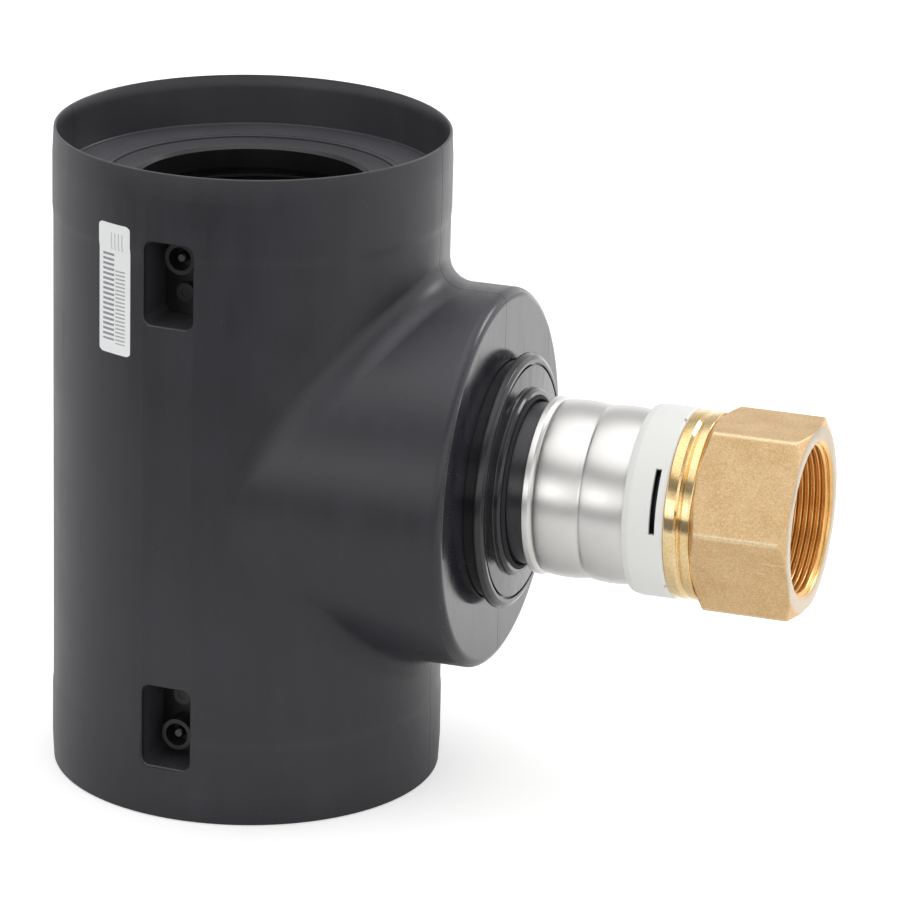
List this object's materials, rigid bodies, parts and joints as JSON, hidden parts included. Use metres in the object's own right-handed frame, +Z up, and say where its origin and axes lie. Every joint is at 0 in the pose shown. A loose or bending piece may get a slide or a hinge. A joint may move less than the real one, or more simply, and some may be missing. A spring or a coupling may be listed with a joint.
{
  "type": "transition tee",
  "caption": "Pre-insulated tee with fusion sockets on its run inside a moulded jacket, and a branch that ends in a pressed sleeve and an internally threaded brass hexagon.",
  "frame": {"origin": "centre of the lower rim's plane on the run axis", "axes": "+Z up the run axis, +X out along the branch axis, -Y towards the two windows"},
  "size_m": [0.3067, 0.155, 0.26],
  "materials": {
    "jacket": "black moulded polyethylene with a fine grain",
    "insulation": "dark closed-cell foam",
    "end_ring": "dark grey foam ring, plain",
    "tee": "black polyethylene, smooth",
    "coil": "bare resistance wire",
    "terminal": "turned contact pin",
    "indicator": "black plastic plug",
    "cap": "black moulded plastic, satin",
    "rubber": "black rubber",
    "pipe": "black pipe, slightly glossy",
    "steel": "satin stainless steel with turned bands",
    "ring": "off-white moulded plastic",
    "brass": "machined brass, matte on the hexagon",
    "label": "white label with plain bars"
  },
  "bodies": {
    "root": {"jacket_front": "jacket", "jacket_rear": "jacket", "insulation": "insulation", "end_ring_upper": "end_ring", "end_ring_lower": "end_ring", "inner_tee": "tee", "coil_upper": "coil", "coil_lower": "coil", "coil_link": "coil", "terminal_upper": "terminal", "terminal_lower": "terminal", "indicator_upper": "indicator", "indicator_lower": "indicator", "branch_cap": "cap", "lip_seal": "rubber", "branch_pipe": "pipe", "press_sleeve": "steel", "slotted_ring": "ring", "brass_adapter": "brass", "nipple_seal_inner": "rubber", "nipple_seal_outer": "rubber", "label": "label"}
  },
  "joints": []
}
